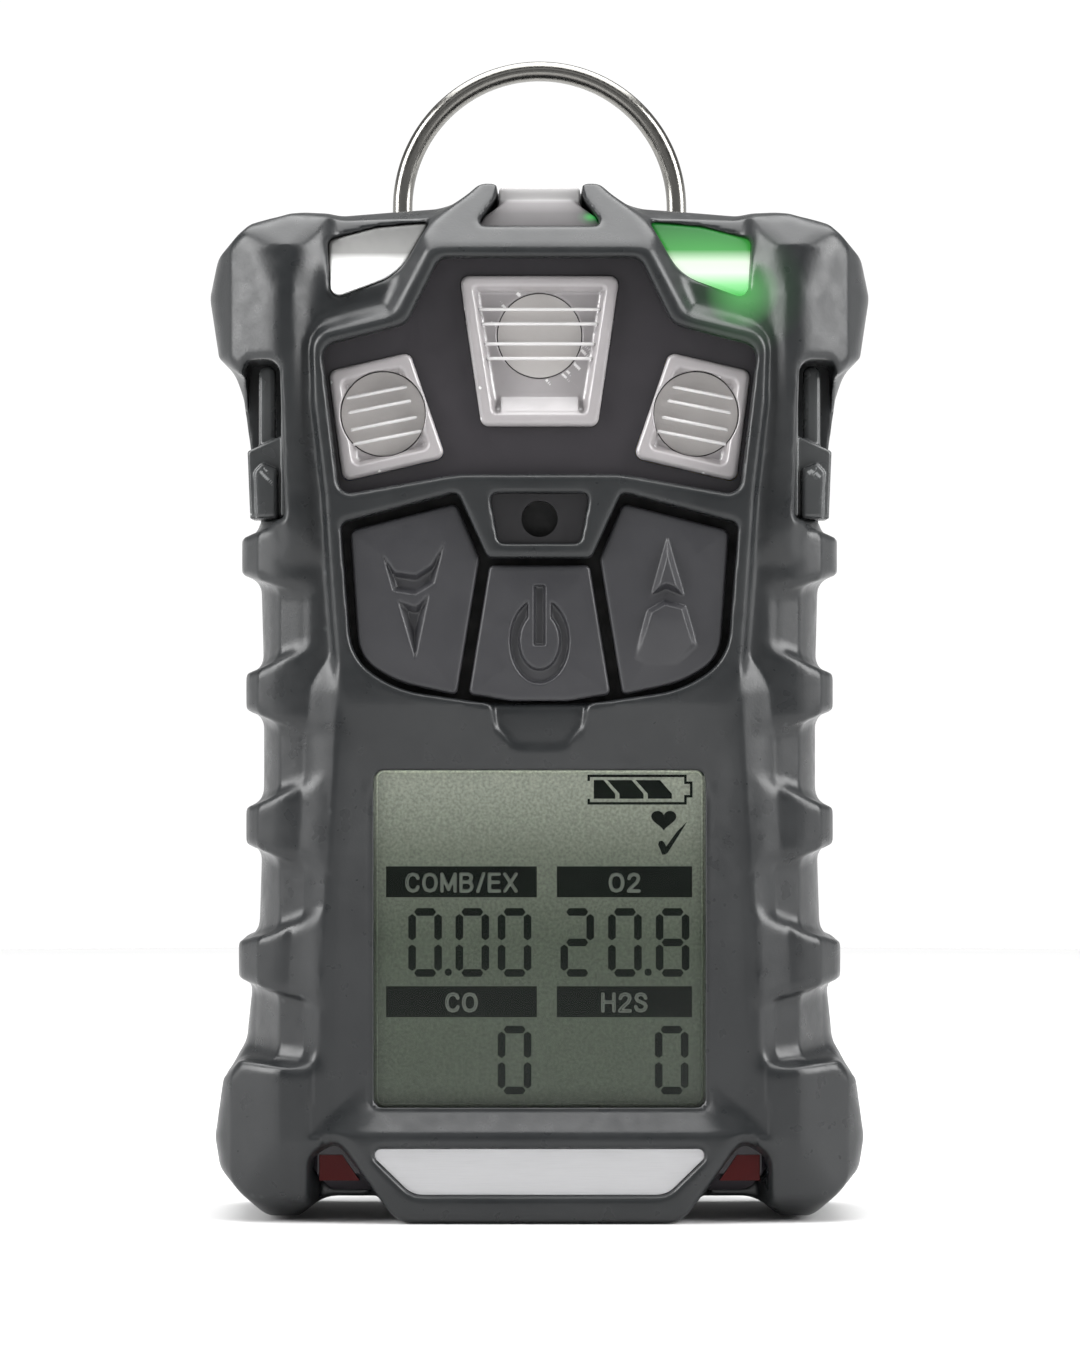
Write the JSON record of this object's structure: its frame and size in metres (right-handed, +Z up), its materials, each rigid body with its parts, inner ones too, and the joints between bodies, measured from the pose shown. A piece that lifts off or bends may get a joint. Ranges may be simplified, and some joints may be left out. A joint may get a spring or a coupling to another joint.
{
  "type": "portable gas detector",
  "caption": "Hand-held gas monitor in a ribbed rubber boot: louvred sensor windows, large keys, a segment display, alarm lights, and a spring clip with a wire loop on the back.",
  "frame": {"origin": "on the surface the detector stands on, midway between its sides, at the seam between the front and rear boot", "axes": "+Z up along the detector's length, the display and sensors face -Y, +X to the right of someone facing the display"},
  "size_m": [0.073, 0.0419, 0.1314],
  "materials": {
    "boot_rubber": "satin moulded rubber",
    "housing_plastic": "fine matte",
    "gasket_rubber": "matte",
    "clear_plastic": "clear moulded, light grey",
    "beacon_plastic": "clear gloss",
    "beacon_green": "clear gloss, lit green from behind",
    "beacon_red": "dark red gloss",
    "filter_white": "porous white membrane",
    "display_glass": "polished",
    "lcd_glass": "olive-green reflective",
    "light_guide": "diffusing",
    "key_rubber": "matte moulded",
    "horn_plastic": "satin",
    "mesh_black": "acoustic membrane",
    "buzzer_metal": "plain",
    "sensor_can": "plain",
    "sensor_blue": "moulded",
    "sensor_yellow": "moulded",
    "circuit_board": "solder mask green",
    "ribbon_film": "polyimide amber",
    "chip_black": "moulded",
    "led_clear": "clear epoxy",
    "battery_wrap": "shrink wrap",
    "gold_contact": "gold plated",
    "brass": "knurled",
    "screw_steel": "zinc plated",
    "clip_steel": "stainless",
    "wire_steel": "polished stainless wire",
    "motor_steel": "drawn can",
    "nameplate_silver": "brushed",
    "label_silver": "printed film"
  },
  "bodies": {
    "housing": {"front_boot": "boot_rubber", "rear_boot": "boot_rubber", "front_housing": "housing_plastic", "rear_housing": "housing_plastic", "housing_gasket": "gasket_rubber", "beacon_lens_left": "beacon_plastic", "beacon_lens_right": "beacon_green", "top_window": "beacon_plastic", "bottom_beacon_left": "beacon_red", "bottom_beacon_right": "beacon_red", "side_catch_left": "clear_plastic", "side_catch_right": "clear_plastic", "sensor_window_center": "clear_plastic", "sensor_window_left": "clear_plastic", "sensor_window_right": "clear_plastic", "sensor_filter_center": "filter_white", "sensor_filter_left": "filter_white", "sensor_filter_right": "filter_white", "sensor_gaskets": "gasket_rubber", "combustible_sensor": "sensor_can", "oxygen_sensor": "sensor_blue", "toxic_sensor": "sensor_yellow", "sensor_carrier": "chip_black", "sensor_board": "circuit_board", "sensor_ribbon": "ribbon_film", "keypad_membrane": "gasket_rubber", "key_switches": "buzzer_metal", "horn_plate": "horn_plastic", "horn_membrane": "mesh_black", "horn_gasket": "gasket_rubber", "horn_buzzer": "buzzer_metal", "display_window": "display_glass", "display_gasket": "gasket_rubber", "lcd_panel": "lcd_glass", "lcd_backlight": "light_guide", "main_board": "circuit_board", "board_chips": "chip_black", "alarm_leds": "led_clear", "status_leds": "led_clear", "infrared_leds": "led_clear", "battery_pack": "battery_wrap", "charge_block": "chip_black", "charge_contacts": "gold_contact", "vibrator_motor": "motor_steel", "motor_cradle": "gasket_rubber", "case_screws": "screw_steel", "screw_inserts": "brass", "nameplate": "nameplate_silver", "rear_label": "label_silver", "clip_bracket": "clip_steel", "clip_screws": "screw_steel", "clip_pin": "screw_steel", "clip_spring": "wire_steel"},
    "button_down_key": {"button_down": "key_rubber"},
    "button_power_key": {"button_power": "key_rubber"},
    "button_up_key": {"button_up": "key_rubber"},
    "clip": {"clip_jaw": "clip_steel", "wire_loop": "wire_steel"},
    "vibrator_rotor": {"vibrator_weight": "motor_steel"}
  },
  "joints": [
    {"name": "press_down", "type": "slide", "parent": "housing", "child": "button_down_key", "axis": [0, 1, 0], "range_m": [0, 0.0008], "stiffness_N_per_m": 1500, "springref_m": -0.0002},
    {"name": "press_power", "type": "slide", "parent": "housing", "child": "button_power_key", "axis": [0, 1, 0], "range_m": [0, 0.0008], "stiffness_N_per_m": 1500, "springref_m": -0.0002},
    {"name": "press_up", "type": "slide", "parent": "housing", "child": "button_up_key", "axis": [0, 1, 0], "range_m": [0, 0.0008], "stiffness_N_per_m": 1500, "springref_m": -0.0002},
    {"name": "clip_hinge", "type": "hinge", "parent": "housing", "child": "clip", "pos_m": [0, 0.0199, 0.084], "axis": [1, 0, 0], "range_deg": [0, 14], "stiffness_Nm_per_rad": 0.8, "springref_deg": -20.05, "deforming": ["clip_spring"]},
    {"name": "vibrator_spin", "type": "hinge", "parent": "housing", "child": "vibrator_rotor", "pos_m": [0, 0.006, 0.0695], "axis": [1, 0, 0], "continuous": true}
  ]
}
